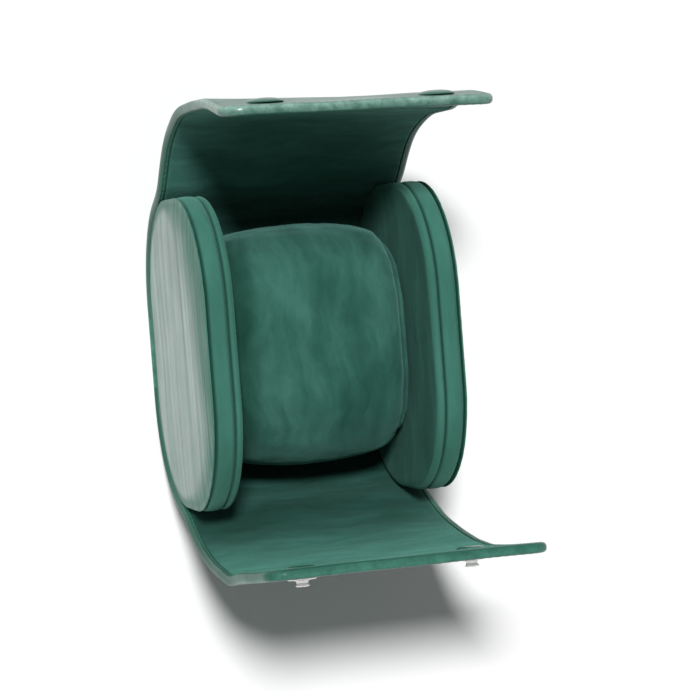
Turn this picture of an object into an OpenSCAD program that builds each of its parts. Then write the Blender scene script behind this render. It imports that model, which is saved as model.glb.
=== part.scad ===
// Watch travel case, single slot: two padded end panels stand on a leather back,
// a soft pillow sits between them, and two leather flaps fold over the front
// and close on each other with a pair of snap fasteners.
// X runs along the roll, from one end panel to the other.
// Z points out of the open case; the origin lies under its middle, on the face it rests on.

/* [Case] */
// Overall width along the roll, over both end panels
case_w = 86; // [76:1:110]
// Height of an end panel, across the roll
panel_h = 103; // [96:1:112]
// Depth of an end panel, from the back to the front of the case
panel_d = 88; // [82:1:104]
// Corner radius of an end panel
corner_r = 36; // [30:1:38]
// Thickness of an end panel
panel_t = 11; // [10:0.5:14]

/* [Sheet] */
// Thickness of the outer leather
leather_t = 1.4; // [1:0.1:2]
// Thickness of the stiffening board
board_t = 1; // [0.8:0.1:1.6]
// Thickness of the suede lining
lining_t = 0.8; // [0.6:0.1:1.2]
// Width of the leather turned over each side edge
turned_edge = 2.6; // [2:0.2:4]
// Radius of the free corners of the flaps
tip_corner_r = 7; // [4:1:14]

/* [End panels] */
// Radius of the outer leather's rounded edge
panel_edge_r = 0.5; // [0.3:0.1:0.5]
// How far the padded outer face stands out from its edge
panel_crown = 0.4; // [0.2:0.1:0.4]
// Width of the border over which the outer face rises
crown_w = 14; // [8:1:16]
// Depth of the inner lining on the rim, up to its seam
lining_rim = 2.4; // [1.8:0.1:2.8]
// Radius of the lining's rounded edge
lining_edge_r = 1.6; // [1.2:0.1:1.8]
// Width of the sunk seam between two skins on the rim
seam_w = 0.5; // [0.3:0.1:0.8]
// Thickness of the stiff board inside an end panel
panel_board_t = 2; // [1.5:0.25:2.5]

/* [Flaps] */
// Lean of the open top flap's side, outwards from upright
top_open = 28.5; // [20:0.1:36]
// Total bend along the top flap's side
top_bow = 32; // [22:1:36]
// Lean of the open bottom flap's side, outwards from upright
bottom_open = 18.8; // [16:0.1:30]
// Total bend along the bottom flap's side
bottom_bow = 18; // [14:1:26]
// Length of the top flap's corner strip
top_corner_l = 22; // [18:0.5:24]
// Length of the bottom flap's corner strip
bottom_corner_l = 19.5; // [18:0.5:21]
// Lean of the top flap's corner strip when open
top_corner_lean = 0; // [0:1:10]
// Lean of the bottom flap's corner strip when open
bottom_corner_lean = 6; // [0:1:12]
// Lean of the top flap's front when open
top_front_lean = -3; // [-6:1:2]
// Lean of the bottom flap's front when open
bottom_front_lean = -5.5; // [-8:0.5:0]
// Length of the top flap's front
top_front_l = 45; // [42:1:52]
// Length of the bottom flap's front
bottom_front_l = 60; // [52:1:64]

/* [Snap fasteners] */
// Distance of each snap from the middle of the case
snap_x = 27; // [18:1:27]
// Distance of the sockets from the top flap's free edge
snap_in = 12; // [10:0.5:16]
// Outer radius of the sockets, flanges and caps
snap_r = 4.5; // [4:0.25:5]
// Radius of a stud's head
stud_r = 2.2; // [1.8:0.1:2.4]
// Height of a stud over the leather
stud_h = 2.5; // [2.2:0.1:2.7]

/* [Pillow] */
// Width of the pillow, across the roll
pillow_h = 84; // [70:1:86]
// Height of the pillow's crown over the lining
pillow_d = 71; // [60:1:74]
// Corner radius of the pillow
pillow_r = 30; // [26:1:32]
// How far the pillow's rounded ends are drawn in
pillow_draw = 10; // [6:1:12]
// Thickness of the velvet cover and its backing
cover_t = 1.2; // [0.8:0.2:2]

/* [Clearances] */
// Between an end panel and the back that carries it
seat_gap = 0.2; // [0.1:0.05:0.3]
// Between a closed flap and the end panels
run_gap = 0.4; // [0.3:0.1:0.8]
// Between the closed flaps where they lap
lap_gap = 1.5; // [1.3:0.1:2]
// Between two parts of the sheet at a fold
fold_gap = 0.3; // [0.2:0.05:0.4]
// Between the pillow and what is round it
pillow_gap = 0.5; // [0.4:0.1:1]

/* [Hidden] */
$fn = 96;

leather_green = [0.24, 0.47, 0.40];
suede_green = [0.20, 0.42, 0.35];
velvet_green = [0.23, 0.43, 0.37];
board_grey = [0.62, 0.60, 0.55];
foam_white = [0.90, 0.89, 0.84];
snap_metal = [0.75, 0.74, 0.70];

big = 400;
cut = 1;
pocket_gap = 0.1;
sheet_t = leather_t + board_t + lining_t;
pocket_t = board_t + lining_t;

// Heights of the end panels, and of the closed flaps that lie on them
panel_z = sheet_t + seat_gap;
front_z = panel_z + panel_d;
bottom_front_z = front_z + run_gap;
top_front_z = bottom_front_z + sheet_t + lap_gap;
centre_y = panel_h / 2 - corner_r;
centre_z = panel_z + corner_r;

// The back follows the panels' corners up to the flaps' first folds
wrap_r = corner_r + seat_gap;
wrap_turn = 80;
fold_y = centre_y + wrap_r * sin(wrap_turn);
fold_z = centre_z - wrap_r * cos(wrap_turn);

// Folds of the flaps: an angle is a lean outwards from upright
corner_closed = 45;
// A closed side rises beside the panel and clears it where its bow is deepest
side_gap = 3 * run_gap;
function side_rise(z, corner_l) = z - fold_z - corner_l * cos(corner_closed);
function closed_lean(rise, bow) = atan(2 * (panel_h / 2 + side_gap - fold_y) / rise - tan(bow / 4));
top_rise = side_rise(top_front_z, top_corner_l);
bottom_rise = side_rise(bottom_front_z, bottom_corner_l);
top_closed = closed_lean(top_rise, top_bow);
bottom_closed = closed_lean(bottom_rise, bottom_bow);
top_side_l = top_rise / cos(top_closed);
bottom_side_l = bottom_rise / cos(bottom_closed);
function step(from, length, lean) = from + length * [sin(lean), cos(lean)];
first_fold = [fold_y, fold_z];
top_fold_2 = step(first_fold, top_side_l, top_open);
top_fold_3 = step(top_fold_2, top_corner_l, top_corner_lean);
bottom_fold_2 = step(first_fold, bottom_side_l, bottom_open);
bottom_fold_3 = step(bottom_fold_2, bottom_corner_l, bottom_corner_lean);

// The snaps lie over each other when both flaps are closed
closed_fold_y = fold_y + top_side_l * sin(top_closed) - top_corner_l * sin(corner_closed);
snap_y = closed_fold_y - top_front_l + snap_in;
bottom_closed_y = -fold_y - bottom_side_l * sin(bottom_closed) + bottom_corner_l * sin(corner_closed);
top_snap_s = top_front_l - snap_in;
bottom_snap_s = snap_y - bottom_closed_y;
flange_t = 0.4;
stud_cone = 0.3;
socket_stand = lap_gap - flange_t - stud_cone - 0.3;
socket_floor = 0.3;
cavity_r = stud_r + 0.5;
post_r = 1.5;
rivet_t = 0.8;
cap_dome = 1.3;
cap_r = snap_r + 1.3;
cap_ball_r = (cap_r * cap_r + cap_dome * cap_dome) / (2 * cap_dome);

echo(first_fold = first_fold, top_fold_2 = top_fold_2, top_fold_3 = top_fold_3);
echo(bottom_fold_2 = bottom_fold_2, bottom_fold_3 = bottom_fold_3);
echo(top_snap = step(top_fold_3, top_snap_s, top_front_lean));
echo(bottom_snap = step(bottom_fold_3, bottom_snap_s, bottom_front_lean));
echo(closed_tips = [closed_fold_y - top_front_l, bottom_closed_y + bottom_front_l]);
echo(front_z = front_z, bottom_snap_s = bottom_snap_s);

// ---- Outlines and lofts ----

// Points of a rounded rectangle, from the middle of its right side anticlockwise
function corner(cy, cz, r, from, steps) =
    [for (i = [0:steps]) [cy + r * cos(from + 90 * i / steps),
                          cz + r * sin(from + 90 * i / steps)]];
function rounded(half_y, half_z, r, steps) = concat(
    corner(half_y - r, half_z - r, r, 0, steps),
    corner(r - half_y, half_z - r, r, 90, steps),
    corner(r - half_y, r - half_z, r, 180, steps),
    corner(half_y - r, r - half_z, r, 270, steps));

// Solid through equal rings; the first and last ring are closed flat
module loft(rings) {
    n = len(rings[0]);
    last = len(rings) - 1;
    points = [for (ring = rings) each ring];
    sides = [for (k = [0:last - 1], i = [0:n - 1])
        let (a = k * n, b = (k + 1) * n, j = (i + 1) % n)
        each [[a + i, b + i, a + j], [a + j, b + i, b + j]]];
    start = [for (i = [1:n - 2]) [0, i, i + 1]];
    end = [for (i = [1:n - 2]) [last * n, last * n + i + 1, last * n + i]];
    polyhedron(points, concat(sides, start, end));
}

// Ring through equal sections that close on themselves
module hoop(sections) {
    n = len(sections[0]);
    m = len(sections);
    points = [for (section = sections) each section];
    faces = [for (k = [0:m - 1], i = [0:n - 1])
        let (a = k * n, b = ((k + 1) % m) * n, j = (i + 1) % n)
        each [[a + i, b + i, a + j], [a + j, b + i, b + j]]];
    polyhedron(points, faces);
}

// ---- End panels ----

// Outline of an end panel at a distance from its outer face, drawn in by an inset
function panel_ring(x, inset) =
    [for (p = rounded(panel_h / 2 - inset, panel_d / 2 - inset, max(corner_r - inset, 1), 11))
        [x, p.x, p.y + panel_z + panel_d / 2]];

// Insets and distances round a quarter circle, for a rounded edge
function shoulder(r, steps) =
    [for (i = [0:steps]) [r - r * sin(90 * i / steps), r - r * cos(90 * i / steps)]];

module left_place() {
    translate([-case_w / 2, 0, 0])
        children();
}

module right_place() {
    mirror([1, 0, 0])
        left_place()
            children();
}

// Outer leather: a padded plate with a rounded edge and a slightly risen face
module panel_leather() {
    edge = [for (p = shoulder(panel_edge_r, 4)) p + [panel_crown, 0]];
    rise = [for (t = [0.25, 0.5, 0.75, 1])
        [panel_crown * pow(1 - t, 2), panel_edge_r + t * crown_w]];
    color(leather_green)
        loft([for (p = concat([for (i = [len(rise) - 1:-1:0]) rise[i]],
                              [for (i = [len(edge) - 1:-1:0]) edge[i]],
                              [[leather_t, 0]]))
            panel_ring(p[0], p[1])]);
}

// Leather strip round the rim, between the two seams, slightly raised along its middle
module panel_rim() {
    x0 = leather_t + seam_w;
    x1 = panel_t - lining_rim - seam_w;
    profile = [[x0, 0.5], [x0 + 0.5, 0.05], [(x0 + x1) / 2, -0.1], [x1 - 0.5, 0.05],
               [x1, 0.5], [x1, leather_t], [x0, leather_t]];
    color(leather_green)
        hoop([for (p = profile) panel_ring(p[0], p[1])]);
}

// Suede lining: a shallow dish over the inner face
module panel_lining() {
    x1 = panel_t - lining_rim;
    edge = shoulder(lining_edge_r, 4);
    color(suede_green)
        difference() {
            loft(concat([panel_ring(x1, 0)], [for (p = edge) panel_ring(panel_t - p[0], p[1])]));
            loft([panel_ring(x1 - cut, leather_t),
                  panel_ring(panel_t - lining_t, leather_t)]);
        }
}

// Solid slab inside a panel's skins, between two distances from its outer face
module panel_slab(from, to) {
    slim = leather_t + pocket_gap;
    translate([from, 0, panel_z + panel_d / 2])
        rotate([90, 0, 90])
            linear_extrude(to - from)
                rounded_square(panel_h / 2 - slim, panel_d / 2 - slim, corner_r - slim);
}

// Stiff board behind the outer leather
module panel_board() {
    color(board_grey)
        panel_slab(leather_t + pocket_gap, leather_t + pocket_gap + panel_board_t);
}

// Foam that fills the panel from the board to the lining
module panel_foam() {
    color(foam_white)
        panel_slab(leather_t + panel_board_t + 2 * pocket_gap, panel_t - lining_t - pocket_gap);
}

module rounded_square(half_x, half_y, r) {
    square([2 * half_x, 2 * (half_y - r)], center = true);
    square([2 * (half_x - r), 2 * half_y], center = true);
    for (sx = [-1, 1], sy = [-1, 1])
        translate([sx * (half_x - r), sy * (half_y - r)])
            circle(r);
}

// ---- Back ----

// Section of the back between two depths below its lined face
module back_section(from, to, turn) {
    for (side = [-1, 1])
        translate([side * centre_y, centre_z])
            difference() {
                intersection() {
                    circle(wrap_r + to);
                    corner_sector(side, turn);
                }
                circle(wrap_r + from);
            }
    translate([-centre_y, sheet_t - to])
        square([2 * centre_y, to - from]);
}

// Quarter plane under a corner's centre, up to a turn from straight down
module corner_sector(side, turn) {
    polygon([[0, 0], [0, -big], [side * big * tan(turn / 2), -big],
             [side * big * sin(turn), -big * cos(turn)]]);
}

module along_roll(width) {
    translate([-width / 2, 0, 0])
        rotate([90, 0, 90])
            linear_extrude(width)
                children();
}

fold_turn = asin(fold_gap / 2 / wrap_r);
lined_w = case_w - 2 * turned_edge;
fill_w = lined_w - 2 * pocket_gap;

module back_leather() {
    color(leather_green)
        difference() {
            along_roll(case_w)
                back_section(0, sheet_t, wrap_turn - fold_turn);
            along_roll(lined_w)
                back_section(-cut, pocket_t, wrap_turn + 1);
        }
}

module back_board() {
    color(board_grey)
        along_roll(fill_w)
            translate([-centre_y, leather_t])
                square([2 * centre_y, board_t]);
}

module back_lining() {
    color(suede_green)
        along_roll(fill_w)
            back_section(0, lining_t, wrap_turn - fold_turn);
}

// ---- Flaps ----
// A flap is drawn on the +Y side; the bottom flap is its mirror image.

// Curved band of a flap's side: the lined face bends by bow over the chord
module side_band(chord, lean, bow, from, to, width, ends) {
    r = chord / (2 * sin(bow / 2));
    start = lean + bow / 2;
    hub = first_fold - r * [cos(start), -sin(start)];
    translate([width / 2, hub.x, hub.y])
        rotate([0, -90, 0])
            rotate([0, 0, 90 + start - bow - ends])
                rotate_extrude(angle = bow + 2 * ends, $fn = 1440)
                    translate([r + from, 0])
                        square([to - from, width]);
}

// Half planes beyond the two folds of a side, for its mitred ends
module beyond_fold(point, lean, sign) {
    translate([0, point.x, point.y])
        rotate([-lean, 0, 0])
            translate([-big / 2, -big / 2, sign > 0 ? -fold_gap / 2 : fold_gap / 2 - big])
                cube(big);
}

module flap_side_piece(chord, lean, bow, next_lean, from, to, width) {
    difference() {
        side_band(chord, lean, bow, from, to, width, 3);
        beyond_fold(first_fold, 90 - wrap_turn, -1);
        beyond_fold(step(first_fold, chord, lean), next_lean, 1);
    }
}

module side_leather(chord, lean, bow, next_lean) {
    color(leather_green)
        difference() {
            flap_side_piece(chord, lean, bow, next_lean, 0, sheet_t, case_w);
            side_band(chord, lean, bow, -cut, pocket_t, lined_w, 4);
        }
}

module side_board(chord, lean, bow, next_lean) {
    color(board_grey)
        flap_side_piece(chord, lean, bow, next_lean, lining_t, pocket_t, fill_w);
}

module side_lining(chord, lean, bow, next_lean) {
    color(suede_green)
        flap_side_piece(chord, lean, bow, next_lean, 0, lining_t, fill_w);
}

// Flat strip or plate of a flap: y runs along the flap, z = 0 is its lined face
module flap_place(point, lean) {
    translate([0, point.x, point.y])
        rotate([90 - lean, 0, 0])
            children();
}

module strip(length, from, to, width) {
    translate([-width / 2, fold_gap / 2, -to])
        cube([width, length - fold_gap, to - from]);
}

// Front plate with two round corners at its free edge
module plate(length, from, to, width, r) {
    translate([0, 0, -to])
        linear_extrude(to - from) {
            translate([-width / 2, fold_gap / 2])
                square([width, length - r - fold_gap / 2]);
            translate([r - width / 2, fold_gap / 2])
                square([width - 2 * r, length - fold_gap / 2]);
            for (side = [-1, 1])
                translate([side * (width / 2 - r), length - r])
                    circle(r);
        }
}

module corner_leather(length) {
    color(leather_green)
        difference() {
            strip(length, 0, sheet_t, case_w);
            translate([0, -cut, 0])
                strip(length + 2 * cut, -cut, lining_t, lined_w);
        }
}

module corner_lining(length) {
    color(suede_green)
        strip(length, 0, lining_t, fill_w);
}

module snap_holes(s, r, from, to) {
    for (side = [-1, 1])
        translate([side * snap_x, s, -to])
            cylinder(r = r, h = to - from);
}

inner_corner_r = tip_corner_r - turned_edge;

module front_leather(length, snap_s) {
    color(leather_green)
        difference() {
            plate(length, 0, sheet_t, case_w, tip_corner_r);
            translate([0, -cut, 0])
                plate(length + cut - turned_edge, -cut, pocket_t, lined_w, inner_corner_r);
            snap_holes(snap_s, post_r, 0, sheet_t + cut);
        }
}

module front_board(length, snap_s, hole_r) {
    color(board_grey)
        difference() {
            plate(length - turned_edge - pocket_gap, lining_t, pocket_t, fill_w, inner_corner_r);
            snap_holes(snap_s, hole_r, 0, sheet_t);
        }
}

module front_lining(length, snap_s, hole_r) {
    color(suede_green)
        difference() {
            plate(length - turned_edge - pocket_gap, 0, lining_t, fill_w, inner_corner_r);
            snap_holes(snap_s, hole_r, -cut, sheet_t);
        }
}

module top_flap_fronts() {
    flap_place(top_fold_3, top_front_lean)
        children();
}

module bottom_side() {
    mirror([0, 1, 0])
        children();
}

module bottom_flap_fronts() {
    bottom_side()
        flap_place(bottom_fold_3, bottom_front_lean)
            children();
}

// ---- Snap fasteners ----

socket_hole_r = snap_r + 0.1;

// Sockets on the lined face of the top flap, sunk down to its leather
module snap_sockets() {
    color(snap_metal)
        top_flap_fronts()
            for (side = [-1, 1])
                translate([side * snap_x, top_snap_s, 0])
                    rotate_extrude()
                        polygon([[0, -pocket_t], [snap_r, -pocket_t], [snap_r, 0.3],
                                 [snap_r - 0.9, socket_stand], [cavity_r, socket_stand],
                                 [cavity_r, socket_floor - pocket_t], [0, socket_floor - pocket_t]]);
}

// Domed caps outside the top flap, with the post that holds the socket
module snap_caps() {
    color(snap_metal)
        top_flap_fronts()
            for (side = [-1, 1])
                translate([side * snap_x, top_snap_s, -sheet_t])
                    rotate_extrude()
                        union() {
                            square([post_r - 0.05, leather_t]);
                            intersection() {
                                translate([0, -cap_dome + cap_ball_r])
                                    circle(cap_ball_r);
                                translate([0, -cap_dome])
                                    square([cap_r, cap_dome]);
                            }
                        }
}

// Studs outside the bottom flap: flange, waist and head
module snap_studs() {
    color(snap_metal)
        bottom_flap_fronts()
            for (side = [-1, 1])
                translate([side * snap_x, bottom_snap_s, -sheet_t])
                    rotate_extrude()
                        polygon([[0, 0.6], [post_r - 0.05, 0.6], [post_r - 0.05, 0], [snap_r, 0],
                                 [snap_r, -flange_t], [stud_r - 0.4, -flange_t - stud_cone],
                                 [stud_r - 0.4, 0.9 - stud_h], [stud_r, 0.5 - stud_h],
                                 [stud_r - 0.3, 0.1 - stud_h], [stud_r - 0.7, -stud_h], [0, -stud_h]]);
}

// Flat rivets on the lined face of the bottom flap that hold the studs
module snap_rivets() {
    color(snap_metal)
        bottom_flap_fronts()
            for (side = [-1, 1])
                translate([side * snap_x, bottom_snap_s, 0])
                    rotate_extrude()
                        polygon([[0, rivet_t], [snap_r - 1.5, rivet_t], [snap_r - 0.4, rivet_t / 2],
                                 [snap_r - 0.2, 0], [post_r - 0.05, 0],
                                 [post_r - 0.05, 0.6 - sheet_t], [0, 0.6 - sheet_t]]);
}

// ---- Pillow ----

pillow_x = case_w / 2 - panel_t - pillow_gap;
pillow_z = sheet_t + 0.3;
// How far the pillow's outline is drawn in towards its ends: share of the half width, inset
crown = [for (c = [[1, 1], [0.985, 0.66], [0.93, 0.42], [0.8, 0.23], [0.52, 0.075], [0.2, 0.005], [0, 0]])
    [c[0], c[1] * pillow_draw]];

function pillow_ring(x, inset, skin) =
    let (half_z = pillow_d / 2)
    [for (p = rounded(pillow_h / 2 - inset, half_z - inset, max(pillow_r - inset * 0.8, 4), 7))
        [x, p.x, max(p.y, 0.5 + skin - half_z) + half_z + pillow_z - 0.5]];

function pillow_rings(skin) = concat(
    [for (c = crown) pillow_ring(-c[0] * (pillow_x - skin), c[1] + skin, skin)],
    [for (i = [len(crown) - 2:-1:0])
        pillow_ring(crown[i][0] * (pillow_x - skin), crown[i][1] + skin, skin)]);

pillow_seam_x = pillow_x * 0.93;

module pillow_skin(from, to) {
    color(velvet_green)
        intersection() {
            difference() {
                loft(pillow_rings(0));
                loft(pillow_rings(cover_t));
            }
            translate([from, -big / 2, -big / 2])
                cube([to - from, big, big]);
        }
}

module pillow_sleeve() {
    pillow_skin(-pillow_seam_x + 0.1, pillow_seam_x - 0.1);
}

module pillow_left_end() {
    pillow_skin(-pillow_x - cut, -pillow_seam_x - 0.1);
}

module pillow_right_end() {
    pillow_skin(pillow_seam_x + 0.1, pillow_x + cut);
}

module pillow_foam() {
    color(foam_white)
        loft(pillow_rings(cover_t + 0.05));
}

// ---- Parts ----

back_leather();
back_board();
back_lining();
left_place() panel_leather();  // left_panel_leather
left_place() panel_board();  // left_panel_board
left_place() panel_foam();  // left_panel_foam
left_place() panel_rim();  // left_panel_rim
left_place() panel_lining();  // left_panel_lining
right_place() panel_leather();  // right_panel_leather
right_place() panel_board();  // right_panel_board
right_place() panel_foam();  // right_panel_foam
right_place() panel_rim();  // right_panel_rim
right_place() panel_lining();  // right_panel_lining
pillow_sleeve();
pillow_left_end();
pillow_right_end();
pillow_foam();
side_leather(top_side_l, top_open, top_bow, top_corner_lean);  // top_side_leather
side_board(top_side_l, top_open, top_bow, top_corner_lean);  // top_side_board
side_lining(top_side_l, top_open, top_bow, top_corner_lean);  // top_side_lining
flap_place(top_fold_2, top_corner_lean) corner_leather(top_corner_l);  // top_corner_leather
flap_place(top_fold_2, top_corner_lean) corner_lining(top_corner_l);  // top_corner_lining
top_flap_fronts() front_leather(top_front_l, top_snap_s);  // top_front_leather
top_flap_fronts() front_board(top_front_l, top_snap_s, socket_hole_r);  // top_front_board
top_flap_fronts() front_lining(top_front_l, top_snap_s, socket_hole_r);  // top_front_lining
snap_sockets();
snap_caps();
bottom_side() side_leather(bottom_side_l, bottom_open, bottom_bow, bottom_corner_lean);  // bottom_side_leather
bottom_side() side_board(bottom_side_l, bottom_open, bottom_bow, bottom_corner_lean);  // bottom_side_board
bottom_side() side_lining(bottom_side_l, bottom_open, bottom_bow, bottom_corner_lean);  // bottom_side_lining
bottom_side() flap_place(bottom_fold_2, bottom_corner_lean) corner_leather(bottom_corner_l);  // bottom_corner_leather
bottom_side() flap_place(bottom_fold_2, bottom_corner_lean) corner_lining(bottom_corner_l);  // bottom_corner_lining
bottom_flap_fronts() front_leather(bottom_front_l, bottom_snap_s);  // bottom_front_leather
bottom_flap_fronts() front_board(bottom_front_l, bottom_snap_s, post_r);  // bottom_front_board
bottom_flap_fronts() front_lining(bottom_front_l, bottom_snap_s, post_r);  // bottom_front_lining
snap_studs();
snap_rivets();
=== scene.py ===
from math import cos, exp, pi, radians, sin
import bpy, bmesh
import numpy as np
from mathutils import Matrix, Vector, noise
from mathutils.bvhtree import BVHTree


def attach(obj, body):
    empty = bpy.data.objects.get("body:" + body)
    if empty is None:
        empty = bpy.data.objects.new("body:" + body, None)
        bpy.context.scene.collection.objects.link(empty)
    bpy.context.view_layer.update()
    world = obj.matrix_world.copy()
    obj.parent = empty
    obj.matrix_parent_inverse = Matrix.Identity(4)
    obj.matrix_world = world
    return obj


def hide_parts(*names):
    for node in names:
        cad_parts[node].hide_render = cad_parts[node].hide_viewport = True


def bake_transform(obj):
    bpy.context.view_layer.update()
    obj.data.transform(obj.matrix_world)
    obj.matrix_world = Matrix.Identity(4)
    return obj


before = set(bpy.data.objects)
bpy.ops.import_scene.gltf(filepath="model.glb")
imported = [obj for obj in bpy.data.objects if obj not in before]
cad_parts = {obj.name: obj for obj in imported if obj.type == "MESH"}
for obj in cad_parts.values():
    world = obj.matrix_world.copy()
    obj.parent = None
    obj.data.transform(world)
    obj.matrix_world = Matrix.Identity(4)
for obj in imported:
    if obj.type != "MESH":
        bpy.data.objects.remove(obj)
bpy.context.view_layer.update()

# ---- Outer leather of the sheet ----
# One hide covers the back and both flaps. It is skived at its side edges, turned over
# onto the lined face and sewn down, and it bends at three creases on each flap.
HALF = 43.0            # half the width of the sheet, in millimetres as all sizes here
THICK = 3.2
TIP_R = 7.0
FLAPS = {
    "top": dict(side=1, open=28.5, bow=32.0, front_lean=-3.0, puff=0.75, spread=2.2,
                front_spread=0.6, draw=2.4, front_draw=0.4, arch=0.9, tip_in=1.0, flare=0.3,
                fold_2=(74.03776, 75.26787), fold_3=(74.03776, 97.26787), front=45.0),
    "bottom": dict(side=-1, open=18.8, bow=18.0, front_lean=-5.5, puff=0.1, spread=1.5,
                   front_spread=0.3, draw=1.4, front_draw=0.2, arch=0.3, tip_in=0.0, flare=2.6,
                   fold_2=(65.61963, 75.61809), fold_3=(67.65794, 95.01126), front=60.0),
}
FOLD_1 = np.array([51.15004, 33.11394])
WRAP_Y, WRAP_Z, WRAP_R = 15.5, 39.4, 36.2     # middle and radius of the turn round a panel
WRAP_TURN = 80                                # degrees of that turn
BACK_CUT = 12.0                               # half the length of the flat middle
CREASE_CURVE = (8.0, 7.0, 5.0)                # how far each crease is rounded to both sides


def lean_dir(lean):
    return np.array([sin(radians(lean)), cos(radians(lean))])


def spaced(points, step):
    """A line's points at even steps along it, their places, and the places of its own points."""
    along = np.concatenate([[0], np.cumsum(np.linalg.norm(np.diff(points, axis=0), axis=1))])
    at = np.arange(0, along[-1], step)
    return np.stack([np.interp(at, along, points[:, i]) for i in (0, 1)], 1), at, along


class SheetLine:
    """The lined face seen from the end of the roll: places along it and outward normals."""

    def __init__(self, flap):
        fold_2, fold_3 = np.array(flap["fold_2"]), np.array(flap["fold_3"])
        chord = np.linalg.norm(fold_2 - FOLD_1)
        radius = chord / (2 * sin(radians(flap["bow"]) / 2))
        first = flap["open"] + flap["bow"] / 2
        points = [(BACK_CUT, THICK)]
        for turn in np.linspace(0, WRAP_TURN, 80):
            points.append((WRAP_Y + WRAP_R * sin(radians(turn)),
                           WRAP_Z - WRAP_R * cos(radians(turn))))
        creases = [len(points) - 1]
        for lean in np.linspace(first, first - flap["bow"], 60)[1:]:
            a, b = radians(first), radians(lean)
            points.append(FOLD_1 + radius * np.array([cos(b) - cos(a), sin(a) - sin(b)]))
        creases.append(len(points) - 1)
        points += [fold_2 + (fold_3 - fold_2) * t for t in np.linspace(0, 1, 20)[1:]]
        creases.append(len(points) - 1)
        tip = fold_3 + flap["front"] * lean_dir(flap["front_lean"])
        points += [fold_3 + (tip - fold_3) * t for t in np.linspace(0, 1, 40)[1:]]
        line, fine, along = spaced(np.array([np.array(p, float) for p in points]), 0.25)
        for mark, reach in zip([along[c] for c in creases], CREASE_CURVE):
            i, j = np.searchsorted(fine, [mark - reach, mark + reach])
            t_in = (line[i] - line[i - 2]) / np.linalg.norm(line[i] - line[i - 2])
            t_out = (line[j + 2] - line[j]) / np.linalg.norm(line[j + 2] - line[j])
            u = np.linspace(0, 1, j - i + 1)[:, None]
            length = 2 * reach
            line[i:j + 1] = ((2 * u**3 - 3 * u**2 + 1) * line[i]
                             + (u**3 - 2 * u**2 + u) * length * t_in
                             + (3 * u**2 - 2 * u**3) * line[j] + (u**3 - u**2) * length * t_out)
        self.line, self.at, along = spaced(line, 0.2)
        self.length = along[-1]
        tangent = np.gradient(self.line, axis=0)
        padded = [np.pad(tangent[:, i], 6, "edge") for i in (0, 1)]
        tangent = np.stack([np.convolve(p, np.ones(13) / 13, "valid") for p in padded], 1)
        tangent /= np.linalg.norm(tangent, axis=1)[:, None]
        self.normal = np.stack([tangent[:, 1], -tangent[:, 0]], 1)
        near = [np.argmin(np.linalg.norm(self.line - p, axis=1)) for p in (FOLD_1, fold_2, fold_3)]
        self.creases = [self.at[n] for n in near]

    def place(self, s):
        s = np.clip(s, 0, self.length)
        return np.array([np.interp(s, self.at, self.line[:, i]) for i in (0, 1)])

    def facing(self, s):
        n = np.array([np.interp(s, self.at, self.normal[:, i]) for i in (0, 1)])
        return n / np.linalg.norm(n)


def ease(value, low, high):
    t = min(max((value - low) / (high - low), 0.0), 1.0)
    return t * t * (3 - 2 * t)


def lumps(a, b, c):
    """Smooth noise at a place."""
    return noise.noise(Vector((a, b, c)))


def relax(flap_name, x, s):
    """How far the soft sheet waves, twists and arches outwards, out of its drawn line."""
    flap, line = FLAPS[flap_name], LINES[flap_name]
    first, second, third = line.creases
    seed = 3.1 if flap_name == "top" else 8.7
    wave = lumps(x / 34.0 + seed, s / 42.0, seed) * 0.7
    wave += lumps(x / 13.0, s / 17.0 + seed, 2 * seed) * 0.18
    drawn = flap["draw"] + (flap["front_draw"] - flap["draw"]) * ease(s, third, third + 14)
    fade = ease(s, third + 10, line.length) if flap_name == "top" else ease(s, third, third + 20)
    spread = flap["spread"] + (flap["front_spread"] - flap["spread"]) * fade
    twist = -x / HALF * (spread if x < 0 else drawn * ease(s, first + 20, second))
    up_front = min(max((s - third) / (line.length - third), 0.0), 1.0)
    arch = flap["arch"] * sin(pi * up_front) ** 2
    wave *= 1 - 0.4 * ease(s, second, third)
    return ((flap["puff"] + wave + twist) * ease(s, first, first + 30) + arch
            - flap["tip_in"] * ease(s, third, line.length))


def on_sheet(flap_name, x, s, depth):
    """A point of the sheet, from its place across and along and its depth."""
    flap, line = FLAPS[flap_name], LINES[flap_name]
    q = line.place(s) + line.facing(s) * (depth + relax(flap_name, x, s))
    pulled = flap["flare"] * ease(s, line.creases[2], line.length) * ease(x, 0, HALF)
    return (x + pulled, q[0] * flap["side"], q[1])


ROW = 1.5              # length of a row of faces along the sheet
SPAN = 26              # strips across it


def outline_rows(line, start, end):
    """Half width, distance along and edge direction of each row of a stretch of sheet."""
    tip = end >= line.length - 0.01
    straight = line.length - TIP_R if tip else end
    count = max(2, int(round((straight - start) / ROW)) + 1)
    rows = [(HALF, s, 1.0, 0.0) for s in np.linspace(start, straight, count)]
    if tip:
        for a in np.linspace(0, pi / 2, 16)[1:]:
            rows.append((HALF - TIP_R + TIP_R * cos(a), straight + TIP_R * sin(a), cos(a), sin(a)))
    return rows, tip


def rub_and_highlight(inset):
    """How much an edge is paler, from rubbing and painted highlight, at an inset from it."""
    return max(0.0, 1.0 - abs(inset - 0.2) / 1.6)


def paint(piece, name, values):
    """A number at each vertex, which the materials read by its name."""
    layer = piece.data.attributes.new(name, "FLOAT", "POINT")
    layer.data.foreach_set("value", np.array(values, np.float32))


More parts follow.
